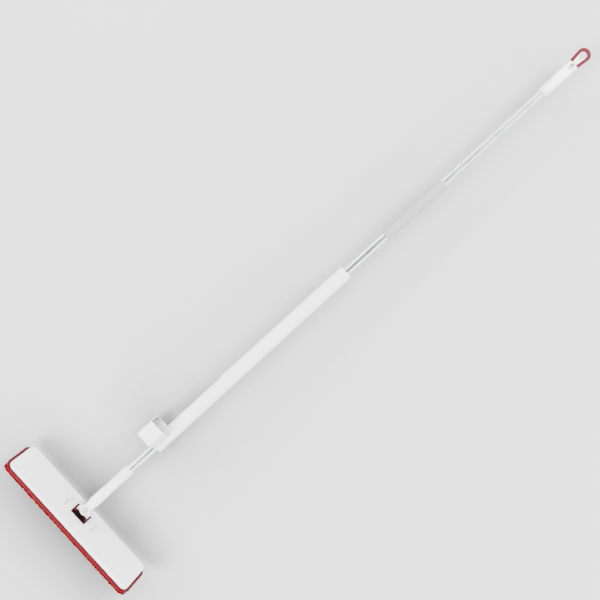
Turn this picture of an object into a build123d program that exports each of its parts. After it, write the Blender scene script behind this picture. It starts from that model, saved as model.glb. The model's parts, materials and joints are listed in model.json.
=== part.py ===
"""Long-handled flat window washer with a hinged head and a sliding wringer sleeve.

Millimetres. The origin is the middle of the hanging eye, +Z runs up the pole, +X along the
head, and -Y is the side that the swing pin's front cap faces. The tool hangs from its eye.
"""

import os
from math import asin, cos, degrees, radians, sin

from build123d import *

os.makedirs("parts", exist_ok=True)

# ---------------------------------------------------------------- driving dimensions
eye_to_pin = 1360.0  # from the hanging eye down to the swing pin
rest_tilt = 21.0  # how far the head's near edge hangs down, in degrees

upper_radius = 8.9
upper_wall = 0.6
lower_radius = 9.5
lower_wall = 0.5
sleeve_radius = 15.9  # at the box; the sleeve narrows towards its top
sleeve_top_radius = 14.9
sleeve_bore = 13.0
grip_radius = 12.3
cap_radius = 11.3
neck_radius = 11.0

head_length = 340.0
head_width = 105.0
shell_height = 6.0  # the white shell, from its top face to its rim
pad_overhang = 1.0  # how far the pad stands out past the shell's long sides
end_overhang = 6.0  # and past its ends
joint_setback = 1.0  # the tilt axis lies this far behind the head's middle line
pin_to_tilt = 15.7  # from the swing pin down to the tilt axis
tilt_to_face = 3.0  # from the tilt axis down to the shell's flat top face

fit = 0.06  # running clearance on a radius

# Heights above the swing pin.
collar_bottom = 99.0
collar_top = 121.0
tube_foot = 62.0
sleeve_bottom = 189.0
sleeve_top = 711.0
box_height = 38.0
grip_bottom = 818.0
grip_top = 976.0
lower_tube_top = 968.0
upper_tube_foot = 735.0
cap_foot = 1246.0

pin_z = -eye_to_pin
tilt_z = pin_z - pin_to_tilt
lower_bore = lower_radius - lower_wall
slant = radians(rest_tilt)
head_plane = Plane(
    origin=(0, 0, tilt_z), x_dir=(1, 0, 0), z_dir=(0, -sin(slant), cos(slant))
)


def above(height):
    """The Z of a height above the swing pin."""
    return pin_z + height


def save(piece, name):
    """Labels a finished sub-part and writes it as its own STEP file."""
    piece.part.label = name
    export_step(piece.part, f"parts/{name}.step")


def pipe(radius, bore, bottom, top):
    """A plain round pipe about the pole's axis."""
    with BuildPart() as piece:
        with BuildSketch(Plane.XY.offset(bottom)):
            Circle(radius)
            Circle(bore, mode=Mode.SUBTRACT)
        extrude(amount=top - bottom)
    return piece


def teardrop(radius, centre, drop, mode=Mode.ADD):
    """A round hole face that runs down to a point, drop below its centre."""
    lean = asin(radius / drop)
    side = radius * cos(lean)
    low = centre - radius * sin(lean)
    with Locations((0, centre)):
        Circle(radius, mode=mode)
    Polygon((-side, low), (0, centre - drop), (side, low), align=None, mode=mode)


# ---------------------------------------------------------------- hanging loop
eye_radius = 7.6
loop_radius = 14.4
loop_depth = 8.0
loop_foot = -27.6
leg_outside = 11.6
leg_inside = 4.6
loop_rounding = 0.8

with BuildPart() as hang_loop:
    with BuildSketch(Plane.XZ):
        Circle(loop_radius)
        with BuildLine():
            Polyline(
                (-loop_radius, 0),
                (-leg_outside, loop_foot),
                (leg_outside, loop_foot),
                (loop_radius, 0),
                close=True,
            )
        make_face()
        Circle(eye_radius, mode=Mode.SUBTRACT)
        with BuildLine():
            Polyline(
                (-eye_radius, 0),
                (-leg_inside, loop_foot),
                (leg_inside, loop_foot),
                (eye_radius, 0),
                close=True,
            )
        make_face(mode=Mode.SUBTRACT)
    extrude(amount=loop_depth / 2, both=True)
    fillet(hang_loop.faces().filter_by(Axis.Y).edges(), radius=loop_rounding)
save(hang_loop, "hang_loop")

# ---------------------------------------------------------------- end cap
cap_bottom = above(cap_foot)
cap_flat_depth = 6.0  # half the depth of the cap's flattened top
flat_foot = -42.0
flat_start = -101.0
cap_tube_top = -86.0
tongue_depth = 3.2
tongue_top = -4.0
liner_radius = 7.6
liner_drop = 15.0
cord_hole_radius = 4.3
cord_hole_z = -33.5
cord_hole_drop = 13.0

with BuildPart() as end_cap:
    with BuildSketch(Plane.XY.offset(cap_bottom)):
        Circle(cap_radius)
    extrude(amount=loop_foot - cap_bottom)
    fillet(end_cap.faces().sort_by(Axis.Z)[-1].edges(), radius=1.2)
    # The cap narrows to a flat top, front and back, below the loop.
    with BuildSketch(Plane.YZ):
        for side in (-1, 1):
            with BuildLine():
                Polyline(
                    (side * cap_flat_depth, loop_foot + 1),
                    (side * cap_flat_depth, flat_foot),
                    (side * cap_radius, flat_start),
                    (side * (cap_radius + 1), flat_start),
                    (side * (cap_radius + 1), loop_foot + 1),
                    close=True,
                )
            make_face()
    extrude(amount=cap_radius + 1, both=True, mode=Mode.SUBTRACT)
    # A tongue stands up between the loop's legs and ends in a V below the eye.
    with BuildSketch(Plane.XZ):
        slope = (eye_radius - leg_inside) / -loop_foot
        tongue_half = eye_radius + slope * tongue_top
        with BuildLine():
            Polyline(
                (-tongue_half, tongue_top),
                (-leg_inside, loop_foot),
                (leg_inside, loop_foot),
                (tongue_half, tongue_top),
                close=True,
            )
        make_face()
        teardrop(liner_radius, 0, liner_drop, mode=Mode.SUBTRACT)
    extrude(amount=tongue_depth, both=True)
    with BuildSketch(Plane.XZ):
        teardrop(cord_hole_radius, cord_hole_z, cord_hole_drop)
    extrude(amount=cap_radius, both=True, mode=Mode.SUBTRACT)
    with BuildSketch(Plane.XY.offset(cap_bottom)):
        Circle(upper_radius)
    extrude(amount=cap_tube_top - cap_bottom, mode=Mode.SUBTRACT)
    with BuildSketch(Plane.XY.offset(cap_bottom + 4)):
        Circle(cap_radius + 1)
        Circle(cap_radius - 0.6, mode=Mode.SUBTRACT)
    extrude(amount=1.4, mode=Mode.SUBTRACT)
save(end_cap, "end_cap")

# ---------------------------------------------------------------- upper tube and its lock
upper_foot = above(upper_tube_foot)
upper_tube = pipe(upper_radius, upper_radius - upper_wall, upper_foot, cap_tube_top)
save(upper_tube, "upper_tube")

plug_length = 25.0
stud_radius = 4.0
stud_length = 16.0
flange_height = 3.0

with BuildPart() as lock_plug:
    with BuildSketch(Plane.XY.offset(upper_foot)):
        Circle(upper_radius - upper_wall)
    extrude(amount=plug_length)
    with BuildSketch(Plane.XY.offset(upper_foot)):
        Circle(stud_radius)
    extrude(amount=-stud_length)
    with BuildSketch(Plane.XY.offset(upper_foot - stud_length)):
        Circle(upper_radius - 0.4)
    extrude(amount=-flange_height)
    chamfer(lock_plug.faces().sort_by(Axis.Z)[0].edges(), length=1)
save(lock_plug, "lock_plug")

# The split ring turns on the plug's stud and jams in the lower tube.
with BuildPart() as lock_ring:
    with BuildSketch(Plane.XY.offset(upper_foot - stud_length + 0.4)):
        Circle(lower_bore - fit)
        Circle(stud_radius + fit, mode=Mode.SUBTRACT)
        with Locations((0, lower_bore / 2 + 1)):
            Rectangle(1.6, lower_bore, mode=Mode.SUBTRACT)
    extrude(amount=stud_length - 0.8)
    chamfer(lock_ring.edges().filter_by(GeomType.CIRCLE).sort_by(Edge.radius)[-2:], length=0.5)
save(lock_ring, "lock_ring")

# ---------------------------------------------------------------- lower tube and grip
button_height = 110.0
button_radius = 3.2

with BuildPart() as lower_tube:
    with BuildSketch(Plane.XY.offset(above(tube_foot))):
        Circle(lower_radius)
        Circle(lower_bore, mode=Mode.SUBTRACT)
    extrude(amount=lower_tube_top - tube_foot)
    with BuildSketch(Plane.XZ.offset(0)):
        with Locations((0, above(button_height))):
            Circle(button_radius + 0.1)
    extrude(amount=lower_radius + 1, mode=Mode.SUBTRACT)
save(lower_tube, "lower_tube")

panel_line_depth = 0.45
rim_line_inset = 3.0

with BuildPart() as grip:
    with BuildSketch(Plane.XY.offset(above(grip_bottom))):
        Circle(grip_radius)
    extrude(amount=grip_top - grip_bottom)
    chamfer(grip.edges().filter_by(GeomType.CIRCLE), length=0.9)
    with BuildSketch(Plane.XY.offset(above(grip_bottom))):
        Circle(lower_radius)
    extrude(amount=lower_tube_top - grip_bottom, mode=Mode.SUBTRACT)
    with BuildSketch(Plane.XY.offset(above(lower_tube_top))):
        Circle(lower_radius + 1.4)
    extrude(amount=grip_top - lower_tube_top, mode=Mode.SUBTRACT)
    # Three moulded lines run the length of the grip, between two rim lines.
    with BuildSketch(Plane.XY.offset(above(grip_bottom + rim_line_inset))):
        with PolarLocations(grip_radius, 3, start_angle=230):
            Rectangle(2 * panel_line_depth, 0.8)
    extrude(amount=grip_top - grip_bottom - 2 * rim_line_inset, mode=Mode.SUBTRACT)
    for height in (grip_bottom + rim_line_inset, grip_top - rim_line_inset):
        with BuildSketch(Plane.XY.offset(above(height) - 0.4)):
            Circle(grip_radius + 1)
            Circle(grip_radius - panel_line_depth, mode=Mode.SUBTRACT)
        extrude(amount=0.8, mode=Mode.SUBTRACT)
save(grip, "grip")

mouth_bush = pipe(
    lower_radius + 1.4, upper_radius + 0.1, above(lower_tube_top), above(grip_top) + 1.5
)
save(mouth_bush, "mouth_bush")

# ---------------------------------------------------------------- neck
fork_radius = 11.6
fork_half_depth = 10.3
slot_half = 6.9
slot_top = 21.0
shoulder = 52.0
shaft_radius = 10.3
shoulder_run = 8.0
swing_pin_radius = 3.0
cap_disc_radius = 6.0

with BuildPart() as neck:
    with BuildSketch(Plane.XZ):
        with BuildLine():
            Polyline(
                (0, above(4)),
                (neck_radius, above(4)),
                (neck_radius, above(shoulder)),
                (shaft_radius, above(shoulder + shoulder_run)),
                (shaft_radius, above(collar_bottom)),
                (lower_radius, above(collar_bottom)),
                (lower_radius, above(tube_foot)),
                (0, above(tube_foot)),
                close=True,
            )
        make_face()
    revolve(axis=Axis.Z)
    with BuildSketch(Plane.XZ):
        with Locations((0, pin_z)):
            Circle(fork_radius)
    extrude(amount=fork_half_depth, both=True)
    fillet(
        neck.edges().filter_by(GeomType.CIRCLE).filter_by(lambda e: abs(e.radius - fork_radius) < 0.01),
        radius=1.2,
    )
    # The fork's slot takes the pivot block; its roof is round.
    with BuildSketch(Plane.YZ):
        with Locations((0, above(0))):
            Rectangle(2 * slot_half, 2 * (slot_top - slot_half))
        with Locations((0, above(slot_top - slot_half))):
            Circle(slot_half)
    extrude(amount=fork_radius + 1, both=True, mode=Mode.SUBTRACT)
    with BuildSketch(Plane.XZ):
        with Locations((0, pin_z)):
            Circle(swing_pin_radius)
    extrude(amount=fork_half_depth + 1, both=True, mode=Mode.SUBTRACT)
    # A flat seat for the cap at each end of the pin.
    for start, reach in ((fork_half_depth, 2), (-fork_half_depth, -2)):
        with BuildSketch(Plane.XZ.offset(start)):
            with Locations((0, pin_z)):
                Circle(cap_disc_radius + 0.4)
        extrude(amount=reach, mode=Mode.SUBTRACT)
save(neck, "neck")

collar_radius = 11.2
with BuildPart() as neck_collar:
    with BuildSketch(Plane.XY.offset(above(collar_bottom) + 0.4)):
        Circle(collar_radius)
        Circle(lower_radius, mode=Mode.SUBTRACT)
    extrude(amount=collar_top - collar_bottom - 0.4)
    chamfer(neck_collar.faces().sort_by(Axis.Z)[-1].outer_wire().edges(), length=0.5)
    with BuildSketch(Plane.XZ):
        with Locations((0, above(button_height))):
            Circle(button_radius + 0.1)
    extrude(amount=collar_radius + 1, mode=Mode.SUBTRACT)
save(neck_collar, "neck_collar")

button_face = 11.9
button_root = 6.4
with BuildPart() as snap_button:
    with BuildSketch(Plane.XZ.offset(button_root)):
        with Locations((0, above(button_height))):
            Circle(button_radius)
    extrude(amount=button_face - button_root)
    fillet(snap_button.faces().sort_by(Axis.Y)[0].edges(), radius=0.8)
    with BuildSketch(Plane.XZ.offset(button_root)):
        with Locations((0, above(button_height))):
            Circle(button_radius + 1)
    extrude(amount=-1.2)
save(snap_button, "snap_button")

# A leaf spring bent to a U lies in the tube, behind the button.
leaf_width = 5.0
leaf_thickness = 0.5
leaf_front = -4.9
leaf_back = 8.0
leaf_foot = 84.0
with BuildPart() as button_spring:
    with BuildSketch(Plane.YZ):
        with BuildLine():
            bend = (leaf_back - leaf_front) / 2
            Line((leaf_front, above(button_height + 5)), (leaf_front, above(leaf_foot)))
            RadiusArc(
                (leaf_front, above(leaf_foot)), (leaf_back, above(leaf_foot)), radius=bend
            )
            Line((leaf_back, above(leaf_foot)), (leaf_back, above(button_height + 5)))
            offset(amount=leaf_thickness / 2, side=Side.BOTH)
        make_face()
    extrude(amount=leaf_width / 2, both=True)
save(button_spring, "button_spring")

with BuildPart() as swing_pin:
    with BuildSketch(Plane.XZ):
        with Locations((0, pin_z)):
            Circle(swing_pin_radius)
    extrude(amount=fork_half_depth, both=True)
save(swing_pin, "swing_pin")

# A round cap closes each end of the swing pin, with a ring pressed into its face.
cap_disc_height = 1.8
with BuildPart() as pin_caps:
    with BuildSketch(Plane.XZ.offset(fork_half_depth)):
        with Locations((0, pin_z)):
            Circle(cap_disc_radius)
    extrude(amount=cap_disc_height)
    fillet(pin_caps.faces().sort_by(Axis.Y)[0].edges(), radius=0.5)
    with BuildSketch(Plane.XZ.offset(fork_half_depth + cap_disc_height)):
        with Locations((0, pin_z)):
            Circle(cap_disc_radius - 1.7)
            Circle(cap_disc_radius - 3.2, mode=Mode.SUBTRACT)
    extrude(amount=-0.9, mode=Mode.SUBTRACT)
    mirror(about=Plane.XZ)
save(pin_caps, "pin_caps")

# ---------------------------------------------------------------- wringer sleeve
wall_slot_half = 7.8
wall_slot_length = 186.0
bush_height = 12.0
lower_bush_height = 490.0

with BuildPart() as sleeve_shell:
    with BuildSketch(Plane.XZ):
        with BuildLine():
            Polyline(
                (sleeve_bore, above(sleeve_bottom)),
                (sleeve_radius - 0.6, above(sleeve_bottom)),
                (sleeve_radius, above(sleeve_bottom) + 0.6),
                (sleeve_top_radius, above(sleeve_top - bush_height)),
                (sleeve_bore, above(sleeve_top - bush_height)),
                close=True,
            )
        make_face()
    revolve(axis=Axis.Z)
    # The neck's pivot passes up this slot when the sleeve runs down over a folded head.
    with BuildSketch(Plane.YZ):
        with Locations((0, above(sleeve_bottom) + wall_slot_length / 2)):
            Rectangle(2 * wall_slot_half, wall_slot_length + 2)
        with Locations((0, above(sleeve_bottom) + wall_slot_length + 1)):
            Circle(wall_slot_half)
    extrude(amount=-sleeve_radius - 1, mode=Mode.SUBTRACT)
save(sleeve_shell, "sleeve_shell")

with BuildPart() as upper_bush:
    with BuildSketch(Plane.XY.offset(above(sleeve_top - bush_height))):
        Circle(sleeve_top_radius)
        Circle(lower_radius + 0.1, mode=Mode.SUBTRACT)
    extrude(amount=bush_height)
    fillet(upper_bush.faces().sort_by(Axis.Z)[-1].outer_wire().edges(), radius=2)
    with BuildSketch(Plane.XY.offset(above(sleeve_top - bush_height))):
        Circle(sleeve_bore)
        Circle(lower_radius + 0.1, mode=Mode.SUBTRACT)
    extrude(amount=-bush_height)
save(upper_bush, "upper_bush")

lower_bush = pipe(
    sleeve_bore, lower_radius + 0.1, above(lower_bush_height), above(lower_bush_height) + bush_height
)
save(lower_bush, "lower_bush")

# ---------------------------------------------------------------- squeeze box
box_outside = -43.4
box_inside = -9.1
box_wall = 2.2
box_play = 2.0  # between the folded head and each end of the box
gusset_x = 3.5
gusset_y = 15.0
box_near = -(head_width / 2 + joint_setback + pad_overhang + box_play)
box_far = head_width / 2 - joint_setback + pad_overhang + box_play
box_base = above(sleeve_bottom)

roller_radius = 3.0
axle_radius = 1.2
roller_x = -37.6
roller_heights = {"lower_roller": 9.0, "upper_roller": 29.0}
roller_gap = 1.9  # between a roller's end and the box's end wall

with BuildPart() as squeeze_box:
    with BuildSketch(Plane.XY.offset(box_base)) as box_plan:
        with BuildLine():
            Polyline(
                (box_outside, box_near - box_wall),
                (box_inside, box_near - box_wall),
                (gusset_x, -gusset_y),
                (gusset_x, gusset_y),
                (box_inside, box_far + box_wall),
                (box_outside, box_far + box_wall),
                close=True,
            )
        make_face()
        fillet(box_plan.vertices().group_by(Axis.X)[0], radius=4)
        fillet(box_plan.vertices().group_by(Axis.Y)[0].sort_by(Axis.X)[-1], radius=2.5)
        fillet(box_plan.vertices().group_by(Axis.Y)[-1].sort_by(Axis.X)[-1], radius=2.5)
        offset(amount=-box_wall, mode=Mode.SUBTRACT)
    extrude(amount=box_height)
    # Two guide ribs stand on the inner face of each end wall.
    with BuildSketch(Plane.XY.offset(box_base)):
        for rib_x in (-34.7, -27.7):
            with Locations((rib_x, box_near + 0.5), (rib_x, box_far - 0.5)):
                Rectangle(2, 1.6)
    extrude(amount=box_height)
    with BuildSketch(Plane.XY.offset(box_base)):
        Circle(sleeve_radius)
    extrude(amount=box_height, mode=Mode.SUBTRACT)
    # The axles sit in blind holes half-way into the end walls.
    with BuildSketch(Plane.XZ.offset(-(box_near - box_wall / 2))):
        for height in roller_heights.values():
            with Locations((roller_x, box_base + height)):
                Circle(axle_radius)
    extrude(amount=-(box_far - box_near + box_wall), mode=Mode.SUBTRACT)
save(squeeze_box, "squeeze_box")

with BuildPart() as roller_axles:
    with BuildSketch(Plane.XZ.offset(-(box_near - box_wall / 2))):
        for height in roller_heights.values():
            with Locations((roller_x, box_base + height)):
                Circle(axle_radius)
    extrude(amount=-(box_far - box_near + box_wall))
save(roller_axles, "roller_axles")

for name, height in roller_heights.items():
    with BuildPart() as roller:
        with BuildSketch(Plane.XZ.offset(-(box_near + roller_gap))):
            with Locations((roller_x, box_base + height)):
                Circle(roller_radius)
                Circle(axle_radius + fit, mode=Mode.SUBTRACT)
        extrude(amount=-(box_far - box_near - 2 * roller_gap))
        # Shallow rings keep the wet pad from sliding sideways.
        ring_pitch = 12.0
        for place in range(8):
            ring_y = box_near + ring_pitch * (place + 1)
            with BuildSketch(Plane.XZ.offset(-ring_y)):
                with Locations((roller_x, box_base + height)):
                    Circle(roller_radius + 1)
                    Circle(roller_radius - 0.4, mode=Mode.SUBTRACT)
            extrude(amount=1.2, mode=Mode.SUBTRACT)
    save(roller, name)

# A toothed bar between the rollers scrapes the pad.
scraper_reach = 4.8
scraper_height = 18.0
tooth_count = 14
tooth_pitch = 7.2
with BuildPart() as scraper_bar:
    with BuildSketch(Plane.XY.offset(box_base + scraper_height)):
        middle_y = (box_near + box_far) / 2
        with Locations((box_outside + box_wall + scraper_reach / 2, middle_y)):
            Rectangle(scraper_reach, box_far - box_near - 8)
        with Locations((box_outside + box_wall + scraper_reach, middle_y)):
            with GridLocations(1, tooth_pitch, 1, tooth_count):
                Rectangle(3, 2.4, mode=Mode.SUBTRACT)
    extrude(amount=2.4)
save(scraper_bar, "scraper_bar")

# ---------------------------------------------------------------- pivot between neck and head
block_half_length = 15.0
block_half_depth = slot_half - 0.3
block_foot = -10.4
block_head = 1.6
boss_radius = 9.6
rocker_radius = 4.2
tilt_pin_radius = 2.0
rocker_half_length = 14.8

with BuildPart() as pivot_block:
    with BuildSketch(Plane.XZ) as block_face:
        with Locations((0, above((block_foot + block_head) / 2))):
            Rectangle(2 * block_half_length, block_head - block_foot)
        fillet(block_face.vertices(), radius=1.2)
        with Locations((0, pin_z)):
            Circle(boss_radius)
            Circle(swing_pin_radius + fit, mode=Mode.SUBTRACT)
    extrude(amount=block_half_depth, both=True)
    chamfer(pivot_block.faces().filter_by(Axis.Y).edges().filter_by(Axis.X), length=0.6)
save(pivot_block, "pivot_block")

# The rocker under the block turns on the two tilt pins.
with BuildPart() as tilt_rocker:
    with BuildSketch(Plane.YZ):
        with Locations((0, tilt_z)):
            Circle(rocker_radius)
        with Locations((0, above(block_foot) - 2.6)):
            Rectangle(5.6, 5.2)
        with Locations((0, tilt_z)):
            Circle(tilt_pin_radius + fit, mode=Mode.SUBTRACT)
    extrude(amount=rocker_half_length, both=True)
save(tilt_rocker, "tilt_rocker")

# ---------------------------------------------------------------- head: measured from the tilt axis
face_w = -tilt_to_face
rim_w = face_w - shell_height
shell_wall = 2.2
corner_radius = 13.0
bevel = 2.2
window_half = 19.6
window_near = -11.6
window_far = 22.9
boss_height = 3.0
boss_round = 38.0
gap_height = 1.8  # the shadow gap between the shell and the base plate
gap_inset = 3.0
slab_thickness = 4.5
slab_overhang = 0.8
slab_end_overhang = 7.0
slab_w = rim_w - gap_height - slab_thickness
backing_thickness = 1.2
pad_thickness = 6.3
middle_v = -joint_setback

screw_radius = 1.5
screw_head_radius = 3.0
screw_head_height = 1.6
screw_places = [
    (side * reach, middle_v + row)
    for side in (-1, 1)
    for reach in (60, 150)
    for row in (-34, 34)
]


def head_outline(grow, grow_ends=None):
    """The head's rounded rectangle, grown or shrunk along its sides and its ends."""
    ends = grow if grow_ends is None else grow_ends
    with Locations((0, middle_v)):
        RectangleRounded(head_length + 2 * ends, head_width + 2 * grow, corner_radius + ends)


def window(grow):
    """The opening for the pivot, grown evenly all round."""
    with Locations((0, (window_near + window_far) / 2)):
        Rectangle(2 * (window_half + grow), window_far - window_near + 2 * grow)


with BuildPart() as top_plate:
    with BuildSketch(head_plane.offset(rim_w)):
        head_outline(0)
    extrude(amount=shell_height)
    chamfer(top_plate.faces().sort_by(Axis(head_plane.origin, head_plane.z_dir))[-1].edges(), length=bevel)
    with BuildSketch(head_plane.offset(rim_w)):
        head_outline(-shell_wall)
    extrude(amount=shell_height - shell_wall, mode=Mode.SUBTRACT)
    # A round boss stands behind the window and slopes away in front of the tilt axis.
    with BuildPart(mode=Mode.PRIVATE) as boss:
        with BuildSketch(head_plane.offset(face_w - shell_wall)):
            Circle(boss_round)
        extrude(amount=boss_height + shell_wall, taper=12)
        with BuildSketch(Plane(head_plane.origin, x_dir=head_plane.y_dir, z_dir=head_plane.x_dir)):
            with BuildLine():
                Polyline(
                    (-3, 1),
                    (-13, face_w),
                    (-boss_round - 1, face_w),
                    (-boss_round - 1, 1),
                    close=True,
                )
            make_face()
        extrude(amount=boss_round + 1, both=True, mode=Mode.SUBTRACT)
    add(boss.part)
    # A fine groove follows the boss's foot on both sides of the window.
    with BuildSketch(head_plane.offset(face_w)):
        Circle(boss_round + 1.2)
        Circle(boss_round, mode=Mode.SUBTRACT)
        with Locations((0, boss_round)):
            Rectangle(2 * window_half, boss_round, mode=Mode.SUBTRACT)
        with Locations((0, -boss_round)):
            Rectangle(4 * boss_round, 1.6 * boss_round, mode=Mode.SUBTRACT)
    extrude(amount=-0.9, mode=Mode.SUBTRACT)
    with BuildSketch(head_plane.offset(rim_w)):
        window(0)
    extrude(amount=shell_height + boss_height + 1, mode=Mode.SUBTRACT)
    # Screw posts hang from the roof of the shell.
    with BuildSketch(head_plane.offset(rim_w)):
        with Locations(*screw_places):
            Circle(screw_head_radius + 0.6)
    extrude(amount=shell_height - shell_wall)
    with BuildSketch(head_plane.offset(rim_w)):
        with Locations(*screw_places):
            Circle(screw_radius)
    extrude(amount=shell_height - shell_wall, mode=Mode.SUBTRACT)
save(top_plate, "top_plate")

cheek_inside = 15.2
cheek_outside = 19.2
cheek_top = -1.2
ear_radius = 4.2
well_wall = 1.8
roof_w = face_w - shell_wall

with BuildPart() as base_plate:
    with BuildSketch(head_plane.offset(slab_w)):
        head_outline(slab_overhang, slab_end_overhang)
    extrude(amount=slab_thickness)
    fillet(base_plate.faces().sort_by(Axis(head_plane.origin, head_plane.z_dir))[-1].edges(), radius=1.2)
    with BuildSketch(head_plane.offset(slab_w)):
        head_outline(-gap_inset)
    extrude(amount=slab_thickness + gap_height)
    # The well around the pivot: two cheeks that carry the tilt pins, and a wall at each end.
    with BuildSketch(head_plane.offset(rim_w)):
        for side in (-1, 1):
            middle_u = side * (cheek_inside + cheek_outside) / 2
            with Locations((middle_u, (window_near + window_far) / 2)):
                Rectangle(cheek_outside - cheek_inside, window_far - window_near - 0.8)
    extrude(amount=cheek_top - rim_w)
    with BuildSketch(head_plane.offset(rim_w)):
        with Locations((0, window_near - well_wall / 2), (0, window_far + well_wall / 2)):
            Rectangle(2 * cheek_outside, well_wall)
    extrude(amount=roof_w - rim_w)
    side_plane = Plane(head_plane.origin, x_dir=head_plane.y_dir, z_dir=head_plane.x_dir)
    for start in (cheek_inside, -cheek_outside):
        with BuildSketch(side_plane.offset(start)):
            Circle(ear_radius)
            with Locations((0, rim_w / 2)):
                Rectangle(2 * ear_radius, -rim_w)
        extrude(amount=cheek_outside - cheek_inside)
    with BuildSketch(side_plane):
        Circle(tilt_pin_radius)
    extrude(amount=cheek_outside + 1, both=True, mode=Mode.SUBTRACT)
    # Stiffening ribs under the shell, each side of the well.
    with BuildSketch(head_plane.offset(rim_w)):
        for side in (-1, 1):
            for row in (-18, 18):
                with Locations((side * 92, middle_v + row)):
                    Rectangle(110, 1.8)
    extrude(amount=roof_w - rim_w)
    with BuildSketch(head_plane.offset(slab_w)):
        with Locations(*screw_places):
            Circle(screw_radius + 0.2)
    extrude(amount=slab_thickness + gap_height, mode=Mode.SUBTRACT)
    with BuildSketch(head_plane.offset(slab_w)):
        with Locations(*screw_places):
            Circle(screw_head_radius + 0.2)
    extrude(amount=screw_head_height + 0.2, mode=Mode.SUBTRACT)
    # Shallow beds for the hook strips.
    with BuildSketch(head_plane.offset(slab_w)):
        with Locations((0, middle_v - 20), (0, middle_v + 20)):
            Rectangle(head_length - 50, 16)
    extrude(amount=0.8, mode=Mode.SUBTRACT)
save(base_plate, "base_plate")

with BuildPart() as hook_strips:
    with BuildSketch(head_plane.offset(slab_w)):
        with Locations((0, middle_v - 20), (0, middle_v + 20)):
            Rectangle(head_length - 50, 16)
    extrude(amount=0.8)
save(hook_strips, "hook_strips")

with BuildPart() as tilt_pins:
    for side in (-1, 1):
        with BuildSketch(side_plane.offset(side * 5)):
            Circle(tilt_pin_radius)
        extrude(amount=side * (cheek_outside - 5))
save(tilt_pins, "tilt_pins")

with BuildPart() as plate_screws:
    with BuildSketch(head_plane.offset(slab_w)):
        with Locations(*screw_places):
            Circle(screw_head_radius)
    extrude(amount=screw_head_height)
    with BuildSketch(head_plane.offset(slab_w)):
        with Locations(*screw_places):
            Circle(screw_radius)
    extrude(amount=slab_thickness + gap_height + shell_height - shell_wall)
    with BuildSketch(head_plane.offset(slab_w)):
        with Locations(*screw_places):
            Rectangle(3.2, 0.8)
    extrude(amount=0.8, mode=Mode.SUBTRACT)
save(plate_screws, "plate_screws")

with BuildPart() as pad_backing:
    with BuildSketch(head_plane.offset(slab_w - backing_thickness)):
        head_outline(pad_overhang - 0.6, end_overhang - 0.6)
    extrude(amount=backing_thickness)
save(pad_backing, "pad_backing")

with BuildPart() as cleaning_pad:
    with BuildSketch(head_plane.offset(slab_w - backing_thickness - pad_thickness)):
        head_outline(pad_overhang, end_overhang)
    extrude(amount=pad_thickness)
    fillet(
        cleaning_pad.faces().sort_by(Axis(head_plane.origin, head_plane.z_dir))[-1].edges(), radius=1.5
    )
save(cleaning_pad, "cleaning_pad")
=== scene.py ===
import json
import math
import random

import bpy
from mathutils import Matrix, Vector, noise


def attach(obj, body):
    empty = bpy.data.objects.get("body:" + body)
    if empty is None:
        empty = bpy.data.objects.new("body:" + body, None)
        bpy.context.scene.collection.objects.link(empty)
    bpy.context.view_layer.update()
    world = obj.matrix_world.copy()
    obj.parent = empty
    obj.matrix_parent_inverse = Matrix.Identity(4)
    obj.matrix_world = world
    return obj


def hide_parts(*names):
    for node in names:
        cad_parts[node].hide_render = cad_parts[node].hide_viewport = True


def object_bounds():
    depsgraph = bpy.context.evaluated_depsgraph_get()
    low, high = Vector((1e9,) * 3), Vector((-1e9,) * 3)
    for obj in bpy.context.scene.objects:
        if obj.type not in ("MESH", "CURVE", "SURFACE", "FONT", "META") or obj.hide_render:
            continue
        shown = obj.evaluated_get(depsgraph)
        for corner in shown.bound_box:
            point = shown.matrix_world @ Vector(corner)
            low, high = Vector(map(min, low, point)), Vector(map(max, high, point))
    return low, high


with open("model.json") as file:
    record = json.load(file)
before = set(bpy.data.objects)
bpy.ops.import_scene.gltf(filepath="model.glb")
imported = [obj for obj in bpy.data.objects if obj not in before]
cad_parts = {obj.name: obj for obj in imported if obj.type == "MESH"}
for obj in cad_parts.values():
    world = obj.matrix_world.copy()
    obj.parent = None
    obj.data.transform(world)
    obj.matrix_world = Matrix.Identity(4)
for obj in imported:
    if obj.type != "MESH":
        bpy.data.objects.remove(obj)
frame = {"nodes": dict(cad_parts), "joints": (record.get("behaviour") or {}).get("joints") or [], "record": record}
cad_low, cad_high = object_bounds()
record = frame["record"]
nodes = frame["nodes"]

MM = 0.001
random.seed(17)


# ------------------------------------------------------------------ the head's own frame
tilt_joint = next(j for j in frame["joints"] if j["name"] == "head_tilt")
pad_mount = next(m for m in record["mounts"] if m["name"] == "pad_face")
ORIGIN = Vector(tilt_joint["pos_m"])
UP = -Vector(pad_mount["axis"]).normalized()
ACROSS = Vector((1, 0, 0))
DEPTH = UP.cross(ACROSS).normalized()


def to_row(u, v, w):
    """A point of the head's frame, in metres, in the row frame."""
    return ORIGIN + ACROSS * u + DEPTH * v + UP * w


def head_box(node):
    """Lowest and highest corner of a CAD node, measured in the head's frame."""
    spots = [vertex.co - ORIGIN for vertex in nodes[node].data.vertices]
    rows = [(p.dot(ACROSS), p.dot(DEPTH), p.dot(UP)) for p in spots]
    return Vector(map(min, zip(*rows))), Vector(map(max, zip(*rows)))


# ------------------------------------------------------------------ materials
def material(name):
    made = bpy.data.materials.new(name)
    made.use_nodes = True
    tree = made.node_tree
    tree.nodes.clear()
    out = tree.nodes.new("ShaderNodeOutputMaterial")
    shader = tree.nodes.new("ShaderNodeBsdfPrincipled")
    tree.links.new(shader.outputs["BSDF"], out.inputs["Surface"])
    return made, tree, shader


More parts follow.
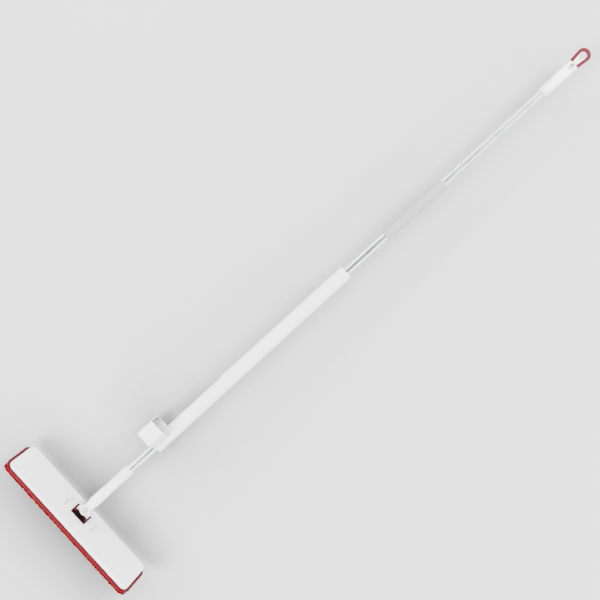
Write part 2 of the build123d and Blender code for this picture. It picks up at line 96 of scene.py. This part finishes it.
def coordinates(tree, stretch=(1, 1, 1)):
    source = tree.nodes.new("ShaderNodeTexCoord")
    mapping = tree.nodes.new("ShaderNodeMapping")
    mapping.inputs["Scale"].default_value = stretch
    tree.links.new(source.outputs["Object"], mapping.inputs["Vector"])
    return mapping.outputs["Vector"]


def noise_field(tree, where, scale, detail=3.0, rough=0.5):
    made = tree.nodes.new("ShaderNodeTexNoise")
    made.inputs["Scale"].default_value = scale
    made.inputs["Detail"].default_value = detail
    made.inputs["Roughness"].default_value = rough
    tree.links.new(where, made.inputs["Vector"])
    return made.outputs["Fac"]


def cell_field(tree, where, scale):
    made = tree.nodes.new("ShaderNodeTexVoronoi")
    made.inputs["Scale"].default_value = scale
    tree.links.new(where, made.inputs["Vector"])
    return made.outputs["Distance"]


def wave_field(tree, where, scale, direction, distortion=0.6):
    made = tree.nodes.new("ShaderNodeTexWave")
    made.bands_direction = direction
    made.inputs["Scale"].default_value = scale
    made.inputs["Distortion"].default_value = distortion
    made.inputs["Detail"].default_value = 2.0
    tree.links.new(where, made.inputs["Vector"])
    return made.outputs["Fac"]


def remap(tree, value, low, high, start=0.0, end=1.0):
    made = tree.nodes.new("ShaderNodeMapRange")
    made.inputs["From Min"].default_value = start
    made.inputs["From Max"].default_value = end
    made.inputs["To Min"].default_value = low
    made.inputs["To Max"].default_value = high
    tree.links.new(value, made.inputs["Value"])
    return made.outputs["Result"]


def arithmetic(tree, kind, a, b):
    made = tree.nodes.new("ShaderNodeMath")
    made.operation = kind
    for socket, value in zip(made.inputs, (a, b)):
        if isinstance(value, (int, float)):
            socket.default_value = value
        else:
            tree.links.new(value, socket)
    return made.outputs["Value"]


def blend_colours(tree, share, first, second):
    made = tree.nodes.new("ShaderNodeMix")
    made.data_type = "RGBA"
    tree.links.new(share, made.inputs["Factor"])
    for socket, value in ((made.inputs[6], first), (made.inputs[7], second)):
        if isinstance(value, tuple):
            socket.default_value = (*value, 1)
        else:
            tree.links.new(value, socket)
    return made.outputs[2]


def bump(tree, height, strength, distance, below=None):
    made = tree.nodes.new("ShaderNodeBump")
    made.inputs["Strength"].default_value = strength
    made.inputs["Distance"].default_value = distance
    tree.links.new(height, made.inputs["Height"])
    if below is not None:
        tree.links.new(below, made.inputs["Normal"])
    return made.outputs["Normal"]


# Reach of the painted shade in the grooves and corners of the mouldings.
CREVICE_SHADE_REACH = 40 * MM


def crevice_shade_mask(tree, reach, clear, packed, most):
    """0 where the surface is open, up to most in grooves and corners: a mask for painted shade, from ambient
    occlusion.
    """
    made = tree.nodes.new("ShaderNodeAmbientOcclusion")
    made.samples = 8
    made.inputs["Distance"].default_value = reach
    return remap(tree, made.outputs["AO"], 0.0, most, clear, packed)


def moulded(name, colour, worn, rough, grain=0.10, coat=0.15, shine=0.5):
    """Injection-moulded plastic: fine grain, slow flow marks, faint scuffs and painted shade in grooves and
    corners.
    """
    made, tree, shader = material(name)
    where = coordinates(tree)
    flow = noise_field(tree, where, 9, 4)
    mottle = noise_field(tree, where, 70, 5, 0.6)
    scuffs = noise_field(tree, coordinates(tree, (40, 40, 5)), 9, 6, 0.7)
    scuffed = remap(tree, scuffs, 0, 1, 0.58, 0.74)
    colour_field = blend_colours(tree, remap(tree, flow, 0, 1, 0.35, 0.7), colour, worn)
    marked = tuple(c * 0.93 for c in worn)
    colour_field = blend_colours(
        tree, arithmetic(tree, "MULTIPLY", scuffed, 0.35), colour_field, marked
    )
    # Painted shade: the colour darkens toward near black in grooves, corners and between parts, read from ambient
    # occlusion.
    painted_shade_colour = tuple(c * 0.10 for c in worn)
    colour_field = blend_colours(tree, crevice_shade_mask(tree, CREVICE_SHADE_REACH, 0.95, 0.30, 0.95), colour_field, painted_shade_colour)
    tree.links.new(colour_field, shader.inputs["Base Color"])
    base = remap(tree, mottle, rough - 0.05, rough + 0.07, 0.3, 0.7)
    rougher = arithmetic(tree, "ADD", base, arithmetic(tree, "MULTIPLY", scuffed, 0.12))
    tree.links.new(rougher, shader.inputs["Roughness"])
    fine = noise_field(tree, where, 2600, 2)
    first = bump(tree, fine, grain, 0.00006)
    second = bump(tree, flow, 0.05, 0.0006, first)
    tree.links.new(second, shader.inputs["Normal"])
    shader.inputs["Specular IOR Level"].default_value = shine
    shader.inputs["Coat Weight"].default_value = coat
    shader.inputs["Coat Roughness"].default_value = 0.18
    shader.inputs["IOR"].default_value = 1.49
    return made


def metal(name, colour, dark, rough, stretch):
    """Drawn metal: long fine die lines, a soft cloudiness and a few handling marks."""
    made, tree, shader = material(name)
    lines = noise_field(tree, coordinates(tree, stretch), 14, 5, 0.65)
    clouds = noise_field(tree, coordinates(tree), 16, 4, 0.6)
    marks = remap(tree, noise_field(tree, coordinates(tree), 120, 6, 0.75), 0, 1, 0.6, 0.8)
    tone = blend_colours(tree, remap(tree, lines, 0, 1, 0.35, 0.68), dark, colour)
    tree.links.new(tone, shader.inputs["Base Color"])
    body = remap(tree, lines, rough + 0.07, rough - 0.05, 0.35, 0.65)
    cloudy = arithmetic(tree, "ADD", body, remap(tree, clouds, -0.03, 0.05, 0.3, 0.7))
    worn = arithmetic(tree, "ADD", cloudy, arithmetic(tree, "MULTIPLY", marks, 0.14))
    tree.links.new(worn, shader.inputs["Roughness"])
    tree.links.new(bump(tree, lines, 0.12, 0.00005), shader.inputs["Normal"])
    shader.inputs["Metallic"].default_value = 1.0
    return made


def stippled(name, colour, dark, rough):
    """Soft-touch grip: leathery stipple with faint lengthwise wear."""
    made, tree, shader = material(name)
    where = coordinates(tree)
    cells = cell_field(tree, where, 900)
    wear = noise_field(tree, coordinates(tree, (30, 30, 4)), 6, 5, 0.65)
    tone = blend_colours(tree, remap(tree, wear, 0, 1, 0.35, 0.7), colour, dark)
    tree.links.new(tone, shader.inputs["Base Color"])
    tree.links.new(remap(tree, wear, rough - 0.08, rough + 0.1, 0.3, 0.7), shader.inputs["Roughness"])
    first = bump(tree, cells, 0.35, 0.00018)
    tree.links.new(
        bump(tree, noise_field(tree, where, 300, 3), 0.15, 0.0002, first), shader.inputs["Normal"]
    )
    shader.inputs["Sheen Weight"].default_value = 0.15
    shader.inputs["Sheen Roughness"].default_value = 0.5
    return made


def woven(name, colour, dark, pitch):
    """Plain-woven cloth."""
    made, tree, shader = material(name)
    where = coordinates(tree)
    warp = wave_field(tree, where, pitch, "X")
    weft = wave_field(tree, where, pitch, "Y")
    weave = arithmetic(tree, "MULTIPLY", warp, weft)
    lint = noise_field(tree, where, 60, 5, 0.7)
    tone = blend_colours(tree, weave, dark, colour)
    tone = blend_colours(
        tree, remap(tree, lint, 0, 0.35, 0.45, 0.8), tone, tuple(min(1, c * 1.3 + 0.02) for c in colour)
    )
    tree.links.new(tone, shader.inputs["Base Color"])
    tree.links.new(remap(tree, lint, 0.8, 0.97, 0.3, 0.7), shader.inputs["Roughness"])
    tree.links.new(bump(tree, weave, 0.6, 0.0004), shader.inputs["Normal"])
    shader.inputs["Sheen Weight"].default_value = 0.3
    shader.inputs["Sheen Roughness"].default_value = 0.45
    return made


def yarn(name, colour, dark, bright):
    """Microfibre yarn: fuzzy, matted, darker where it is damp and packed."""
    made, tree, shader = material(name)
    where = coordinates(tree)
    fuzz = noise_field(tree, where, 1500, 5, 0.75)
    damp = noise_field(tree, where, 55, 4, 0.6)
    strands = noise_field(tree, coordinates(tree, (1, 1, 0.3)), 520, 4, 0.7)
    tone = blend_colours(tree, remap(tree, strands, 0, 1, 0.32, 0.68), dark, colour)
    tone = blend_colours(tree, remap(tree, damp, 0, 0.55, 0.5, 0.75), tone, dark)
    tone = blend_colours(tree, remap(tree, fuzz, 0, 0.3, 0.55, 0.8), tone, bright)
    tree.links.new(tone, shader.inputs["Base Color"])
    tree.links.new(remap(tree, fuzz, 0.82, 1.0, 0.3, 0.7), shader.inputs["Roughness"])
    first = bump(tree, fuzz, 0.55, 0.0004)
    tree.links.new(bump(tree, strands, 0.5, 0.0006, first), shader.inputs["Normal"])
    shader.inputs["Specular IOR Level"].default_value = 0.05
    shader.inputs["Sheen Weight"].default_value = 0.25
    shader.inputs["Sheen Roughness"].default_value = 0.4
    shader.inputs["Sheen Tint"].default_value = (*bright, 1)
    return made


def hooked(name, colour, dark):
    """Hook tape: a field of tiny stiff hooks."""
    made, tree, shader = material(name)
    where = coordinates(tree)
    hooks = cell_field(tree, where, 620)
    tone = blend_colours(tree, remap(tree, hooks, 0, 1, 0.1, 0.7), colour, dark)
    tree.links.new(tone, shader.inputs["Base Color"])
    tree.links.new(remap(tree, hooks, 0.45, 0.85), shader.inputs["Roughness"])
    tree.links.new(bump(tree, hooks, 0.8, 0.0006), shader.inputs["Normal"])
    return made


WHITE = moulded("white_moulded", (0.88, 0.885, 0.89), (0.85, 0.855, 0.86), 0.34)
RED = moulded("red_moulded", (0.095, 0.0, 0.005), (0.08, 0.0, 0.004), 0.36, coat=0.0, shine=0.12)
# A darker copy of the red moulding: painted shade for the red parts that sit deep in the joint's well.
RED_IN_PAINTED_SHADE = moulded(
    "red_moulded_painted_shade", (0.035, 0.0, 0.0015), (0.028, 0.0, 0.001), 0.45, coat=0.0, shine=0.1
)
GRIP = stippled("grip_soft_touch", (0.35, 0.35, 0.365), (0.31, 0.31, 0.325), 0.56)
RING = moulded("ring_nylon", (0.66, 0.66, 0.66), (0.60, 0.60, 0.60), 0.5, coat=0.0)
ROLLER = moulded("roller_satin", (0.76, 0.77, 0.78), (0.70, 0.71, 0.72), 0.42, grain=0.2, coat=0.05)
TUBE = metal("tube_drawn", (0.80, 0.81, 0.83), (0.70, 0.71, 0.735), 0.27, (60, 60, 1.2))
STEEL = metal("steel_bright", (0.62, 0.62, 0.63), (0.5, 0.5, 0.51), 0.25, (50, 6, 50))
HOOKS = hooked("hook_tape", (0.22, 0.006, 0.012), (0.09, 0.003, 0.006))
BACKING = woven("pad_backing_cloth", (0.42, 0.006, 0.018), (0.22, 0.003, 0.01), 420)
PAD = yarn("pad_microfibre", (0.18, 0.0, 0.002), (0.09, 0.0, 0.001), (0.26, 0.0005, 0.003))
PILE = yarn("pile_red", (0.185, 0.0, 0.002), (0.09, 0.0, 0.001), (0.27, 0.0005, 0.003))
PILE_DARK = yarn("pile_dark", (0.040, 0.006, 0.006), (0.015, 0.004, 0.004), (0.09, 0.014, 0.014))
THREAD = yarn("binding_thread", (0.15, 0.0006, 0.001), (0.08, 0.0003, 0.0006), (0.21, 0.003, 0.004))

BY_SLOT = {
    "white_plastic": WHITE,
    "red_plastic": RED,
    "deep_red_plastic": RED_IN_PAINTED_SHADE,
    "grey_grip": GRIP,
    "ring_plastic": RING,
    "roller_plastic": ROLLER,
    "tube_aluminium": TUBE,
    "pin_steel": STEEL,
    "hook_nylon": HOOKS,
    "pad_backing_cloth": BACKING,
    "pad_microfibre": PAD,
}
for part in record["subparts"]:
    shown = nodes[part["node"]]
    shown.data.materials.clear()
    shown.data.materials.append(BY_SLOT[part["material_slot"]])


# ------------------------------------------------------------------ the cleaning pad
low, high = head_box("cleaning_pad")
CORNER = 15 * MM
HALF_U = (high.x - low.x) / 2
HALF_V = (high.y - low.y) / 2
MID_V = (high.y + low.y) / 2
PAD_TOP = high.z
PAD_FOOT = low.z
CORE_DEPTH = 4.6 * MM
ROWS_U, ROWS_V = ((128, 44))
SEAM_EVERY = 11


def mesh_object(name, points, faces, finish, smooth=True):
    data = bpy.data.meshes.new(name)
    data.from_pydata([tuple(p) for p in points], [], faces)
    data.update()
    made = bpy.data.objects.new(name, data)
    bpy.context.scene.collection.objects.link(made)
    made.data.materials.append(finish)
    for face in made.data.polygons:
        face.use_smooth = smooth
    return made


def outline(a, b, half_u, half_v, corner):
    """Maps the square -1..1 onto a rounded rectangle without folding at its corners."""
    u, v = a * half_u, b * half_v
    over_u, over_v = abs(u) - (half_u - corner), abs(v) - (half_v - corner)
    if over_u > 0 and over_v > 0:
        reach = math.hypot(over_u, over_v)
        longest = max(over_u, over_v)
        share = longest / reach
        u = math.copysign(half_u - corner + over_u * share, u)
        v = math.copysign(half_v - corner + over_v * share, v)
    return u, v


def perimeter(half_u, half_v, corner, step):
    """Evenly spaced (u, v, outward u, outward v) places around a rounded rectangle."""
    straight_u, straight_v = 2 * (half_u - corner), 2 * (half_v - corner)
    arc = math.pi / 2 * corner
    total = 2 * straight_u + 2 * straight_v + 4 * arc
    count = round(total / step)
    legs = [
        (straight_u, lambda d: (-half_u + corner + d, -half_v, 0, -1)),
        (arc, lambda d: around(half_u - corner, -half_v + corner, corner, -90, d)),
        (straight_v, lambda d: (half_u, -half_v + corner + d, 1, 0)),
        (arc, lambda d: around(half_u - corner, half_v - corner, corner, 0, d)),
        (straight_u, lambda d: (half_u - corner - d, half_v, 0, 1)),
        (arc, lambda d: around(-half_u + corner, half_v - corner, corner, 90, d)),
        (straight_v, lambda d: (-half_u, half_v - corner - d, -1, 0)),
        (arc, lambda d: around(-half_u + corner, -half_v + corner, corner, 180, d)),
    ]
    spots = []
    for index in range(count):
        travelled = total * index / count
        for length, place in legs:
            if travelled < length:
                spots.append(place(travelled))
                break
            travelled -= length
    return spots


def around(u, v, radius, start, travelled):
    angle = math.radians(start) + travelled / radius
    return (
        u + radius * math.cos(angle),
        v + radius * math.sin(angle),
        math.cos(angle),
        math.sin(angle),
    )


def core_grid():
    """The pad's stuffed core: a flat upper sheet and a lower sheet, joined all round."""
    points, faces, pinned = [], [], []
    wide, deep = ROWS_U + 1, ROWS_V + 1
    inset = 1.4 * MM
    for sheet in (0, 1):
        for j in range(deep):
            for i in range(wide):
                a, b = 2 * i / ROWS_U - 1, 2 * j / ROWS_V - 1
                u, v = outline(a, b, HALF_U - inset, HALF_V - inset, CORNER)
                edge = max(abs(a) ** 10, abs(b) ** 6)
                drop = 0.5 * MM + sheet * (CORE_DEPTH - 1.6 * MM) * (1 - 0.5 * edge)
                points.append(Vector((u, v + MID_V, PAD_TOP - drop)))
                seam = sheet == 1 and j % SEAM_EVERY == 0 and 0 < j < ROWS_V
                pinned.append(sheet == 0 or seam)
    size = wide * deep
    for j in range(ROWS_V):
        for i in range(ROWS_U):
            k = j * wide + i
            faces.append((k, k + 1, k + wide + 1, k + wide))
            faces.append((size + k, size + k + wide, size + k + wide + 1, size + k + 1))
    rim = list(range(wide))
    rim += [j * wide + wide - 1 for j in range(1, deep)]
    rim += [(deep - 1) * wide + i for i in range(wide - 2, -1, -1)]
    rim += [j * wide for j in range(deep - 2, 0, -1)]
    for k in range(len(rim)):
        a, b = rim[k], rim[(k + 1) % len(rim)]
        faces.append((b, a, size + a, size + b))
    return points, faces, pinned


SIM_FRAMES = 26


def puff(made, pinned):
    """Blows the core up between its seams as cloth, ten times full size to keep it steady."""
    scale = 10
    for vertex in made.data.vertices:
        vertex.co = vertex.co * scale
    group = made.vertex_groups.new(name="sewn")
    group.add([k for k, held in enumerate(pinned) if held], 1.0, "REPLACE")
    cloth = made.modifiers.new("cloth", "CLOTH")
    settings = cloth.settings
    settings.quality = 6
    settings.mass = 0.25
    settings.tension_stiffness = 18
    settings.compression_stiffness = 12
    settings.shear_stiffness = 6
    settings.bending_stiffness = 0.6
    settings.air_damping = 4
    settings.use_pressure = True
    settings.uniform_pressure_force = 2.2
    settings.vertex_group_mass = "sewn"
    settings.effector_weights.gravity = 0.05
    cloth.collision_settings.use_collision = False
    scene = bpy.context.scene
    cloth.point_cache.frame_start = 1
    cloth.point_cache.frame_end = SIM_FRAMES
    for step in range(1, SIM_FRAMES + 1):
        scene.frame_set(step)
    shaped = made.evaluated_get(bpy.context.evaluated_depsgraph_get())
    spots = [vertex.co.copy() / scale for vertex in shaped.data.vertices]
    made.modifiers.remove(cloth)
    scene.frame_set(1)
    for vertex, spot in zip(made.data.vertices, spots):
        vertex.co = spot


core_points, core_faces, core_pinned = core_grid()
pad = mesh_object("pad_core", core_points, core_faces, PAD)
puff(pad, core_pinned)
for k, vertex in enumerate(pad.data.vertices):
    p = vertex.co.copy()
    loft = noise.noise(Vector((p.x * 55, p.y * 55, 3.0))) * 0.5 * MM
    if k >= len(core_points) // 2:
        p.z += loft
    p.x = max(low.x, min(high.x, p.x))
    p.y = max(low.y, min(high.y, p.y))
    p.z = max(PAD_TOP - CORE_DEPTH - 1.2 * MM, min(PAD_TOP, p.z))
    vertex.co = to_row(*p)
pad.data.update()
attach(pad, "head")
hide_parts("cleaning_pad")


class Strands:
    """Gathers many short bent tubes into one mesh, in the head's frame."""

    def __init__(self, sides):
        self.sides = sides
        self.points = []
        self.faces = []

    def add(self, path, radii):
        first = len(self.points)
        for index, spot in enumerate(path):
            ahead = path[min(index + 1, len(path) - 1)] - path[max(index - 1, 0)]
            ahead.normalize()
            side = ahead.orthogonal().normalized()
            other = ahead.cross(side)
            for turn in range(self.sides):
                angle = 2 * math.pi * turn / self.sides
                reach = side * math.cos(angle) + other * math.sin(angle)
                self.points.append(to_row(*(spot + reach * radii[index])))
        for ring in range(len(path) - 1):
            for turn in range(self.sides):
                a = first + ring * self.sides + turn
                b = first + ring * self.sides + (turn + 1) % self.sides
                self.faces.append((a, b, b + self.sides, a + self.sides))
        self.faces.append(tuple(first + turn for turn in reversed(range(self.sides))))
        last = first + (len(path) - 1) * self.sides
        self.faces.append(tuple(last + turn for turn in range(self.sides)))


def noodle(strands, root, heading, length, radius):
    """One chenille finger: a soft bent sausage from its root, clipped to the pad's room."""
    rings = 6
    sway = Vector((random.uniform(-1, 1), random.uniform(-1, 1), 0)) * 0.9
    spot = Vector(root)
    direction = Vector(heading).normalized()
    path, radii = [], []
    for ring in range(rings):
        share = ring / (rings - 1)
        path.append(spot.copy())
        bulge = math.sin(math.pi * (0.16 + 0.76 * share)) ** 0.7
        radii.append(radius * (0.35 + 0.65 * bulge) * random.uniform(0.9, 1.1))
        direction = (direction + sway * 0.22).normalized()
        spot = spot + direction * (length / (rings - 1))
        spot.z = max(spot.z, PAD_FOOT + radius)
        spot.x = max(low.x + radius * 0.6, min(high.x - radius * 0.6, spot.x))
        spot.y = max(low.y + radius * 0.6, min(high.y - radius * 0.6, spot.y))
    strands.add(path, radii)


red_pile, dark_pile = Strands(6), Strands(6)
FIELD_STEP = 5.4 * MM
rows_v = int((2 * HALF_V - 10 * MM) / FIELD_STEP)
rows_u = int((2 * HALF_U - 10 * MM) / FIELD_STEP)
root_w = PAD_TOP - CORE_DEPTH + 1.0 * MM
for j in range(rows_v + 1):
    for i in range(rows_u + 1):
        u = -HALF_U + 5 * MM + i * (2 * HALF_U - 10 * MM) / rows_u
        v = -HALF_V + 5 * MM + j * (2 * HALF_V - 10 * MM) / rows_v
        corner_u, corner_v = abs(u) - (HALF_U - CORNER), abs(v) - (HALF_V - CORNER)
        if corner_u > 0 and corner_v > 0 and math.hypot(corner_u, corner_v) > CORNER - 4 * MM:
            continue
        u += random.uniform(-1.1, 1.1) * MM
        v += random.uniform(-1.1, 1.1) * MM
        chosen = dark_pile if random.random() < 0.10 else red_pile
        lean = (random.uniform(-0.8, 0.8), random.uniform(-0.8, 0.8), -1)
        noodle(chosen, (u, v + MID_V, root_w), lean, random.uniform(6.5, 8.5) * MM, 1.9 * MM)
for inset, lift, step in ((3.4, 1.2, 3.6), (2.4, 0.6, 3.0)):
    for u, v, out_u, out_v in perimeter(
        HALF_U - inset * MM, HALF_V - inset * MM, CORNER - inset * MM, step * MM
    ):
        chosen = dark_pile if random.random() < 0.20 else red_pile
        along = random.uniform(-0.7, 0.7)
        lean = (
            out_u * random.uniform(0.0, 0.45) + along * out_v,
            out_v * random.uniform(0.0, 0.45) - along * out_u,
            -1,
        )
        height = root_w + lift * MM
        noodle(chosen, (u, v + MID_V, height), lean, random.uniform(5.0, 6.6) * MM, 1.5 * MM)
for name, strands, finish in (("pad_pile", red_pile, PILE), ("pad_pile_dark", dark_pile, PILE_DARK)):
    made = mesh_object(name, strands.points, strands.faces, finish)
    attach(made, "head")

# The bound edge and its stitches.
binding = Strands(8)
edge_u, edge_v, edge_w = HALF_U - 1.7 * MM, HALF_V - 1.7 * MM, PAD_TOP - 1.7 * MM
spots = perimeter(edge_u, edge_v, CORNER - 1.7 * MM, 5.0 * MM)
spots.append(spots[0])
path = [
    Vector((u, v + MID_V, edge_w + noise.noise(Vector((u * 40, v * 40, 9))) * 0.5 * MM))
    for u, v, _, _ in spots
]
path[-1] = path[0].copy()
radii = [1.55 * MM * (1 + 0.10 * noise.noise(Vector((p.x * 90, p.y * 90, 1)))) for p in path]
radii[-1] = radii[0]
binding.add(path, radii)
bound = mesh_object("pad_binding", binding.points, binding.faces, PAD)
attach(bound, "head")

stitches = Strands(5)
outside = 1.45 * MM
stitch_spots = perimeter(edge_u + outside, edge_v + outside, CORNER - 1.7 * MM + outside, 4.6 * MM)
for u, v, out_u, out_v in stitch_spots:
    start = Vector((u - out_v * 1.5 * MM, v + out_u * 1.5 * MM + MID_V, edge_w - 0.5 * MM))
    end = Vector((u + out_v * 1.5 * MM, v - out_u * 1.5 * MM + MID_V, edge_w + 0.5 * MM))
    stitches.add([start, (start + end) / 2, end], [0.16 * MM, 0.26 * MM, 0.16 * MM])
sewn = mesh_object("pad_stitches", stitches.points, stitches.faces, THREAD)
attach(sewn, "head")


# ------------------------------------------------------------------ stage, light and camera
BACKDROP_GAP = 25 * MM
SHADE_REACH = 140 * MM


def backdrop():
    """A pale ground behind the tool, seen only from its front."""
    made, tree, shader = material("backdrop_pale")
    where = coordinates(tree)
    clouds = remap(tree, noise_field(tree, where, 2, 3), 0, 1, 0.3, 0.7)
    tone = blend_colours(tree, clouds, (0.55, 0.55, 0.554), (0.53, 0.53, 0.534))
    # Painted shadow: the backdrop darkens toward near black close to the tool, read from ambient occlusion.
    shade = crevice_shade_mask(tree, SHADE_REACH, 0.98, 0.55, 0.95)
    tone = blend_colours(tree, shade, tone, (0.06, 0.06, 0.062))
    tree.links.new(tone, shader.inputs["Base Color"])
    tree.links.new(remap(tree, noise_field(tree, where, 30, 3), 0.75, 0.9), shader.inputs["Roughness"])
    clear = tree.nodes.new("ShaderNodeBsdfTransparent")
    side = tree.nodes.new("ShaderNodeNewGeometry")
    mix = tree.nodes.new("ShaderNodeMixShader")
    out = next(n for n in tree.nodes if n.type == "OUTPUT_MATERIAL")
    tree.links.new(side.outputs["Backfacing"], mix.inputs["Fac"])
    tree.links.new(shader.outputs["BSDF"], mix.inputs[1])
    tree.links.new(clear.outputs["BSDF"], mix.inputs[2])
    tree.links.new(mix.outputs["Shader"], out.inputs["Surface"])
    y = cad_high.y + BACKDROP_GAP
    corners = [(-6, y, -7), (6, y, -7), (6, y, 5), (-6, y, 5)]
    plane = mesh_object("backdrop", corners, [(0, 1, 2, 3)], made, smooth=False)


def area_light(name, place, target, size, energy):
    data = bpy.data.lights.new(name, "AREA")
    data.shape = "RECTANGLE"
    data.size, data.size_y = size
    data.energy = energy
    made = bpy.data.objects.new(name, data)
    bpy.context.scene.collection.objects.link(made)
    made.location = place
    made.rotation_euler = (Vector(target) - Vector(place)).to_track_quat("-Z", "Y").to_euler()


backdrop()
PIN = Vector(next(j for j in frame["joints"] if j["name"] == "head_swing")["pos_m"])
middle = Vector((0, 0, PIN.z + 0.6))
area_light("key_high", (0.4, -3.0, PIN.z + 3.2), middle, (1.2, 1.2), 400)
area_light("key_low", (-0.5, -3.0, PIN.z - 2.0), middle, (1.2, 1.2), 300)
area_light("left_strip", (-1.8, -1.1, PIN.z + 0.7), middle, (0.9, 3.2), 95)
area_light("right_strip", (1.8, -1.0, PIN.z + 0.6), middle, (0.9, 3.2), 80)

world = bpy.data.worlds.new("studio")
world.use_nodes = True
world.node_tree.nodes["Background"].inputs["Color"].default_value = (0.93, 0.94, 0.96, 1)
world.node_tree.nodes["Background"].inputs["Strength"].default_value = 0.38
bpy.context.scene.world = world

POLE_ANGLE = math.radians(42.4)
right = Vector((math.sin(POLE_ANGLE), 0, math.cos(POLE_ANGLE)))
above = Vector((-math.cos(POLE_ANGLE), 0, math.sin(POLE_ANGLE)))
camera_data = bpy.data.cameras.new("camera")
camera_data.sensor_width = 36
camera_data.lens = 74.3
camera = bpy.data.objects.new("camera", camera_data)
bpy.context.scene.collection.objects.link(camera)
camera.matrix_world = Matrix.Translation((-0.021, -2.5, PIN.z + 0.604)) @ Matrix(
    (
        (right.x, above.x, 0, 0),
        (right.y, above.y, -1, 0),
        (right.z, above.z, 0, 0),
        (0, 0, 0, 1),
    )
)
bpy.context.scene.camera = camera
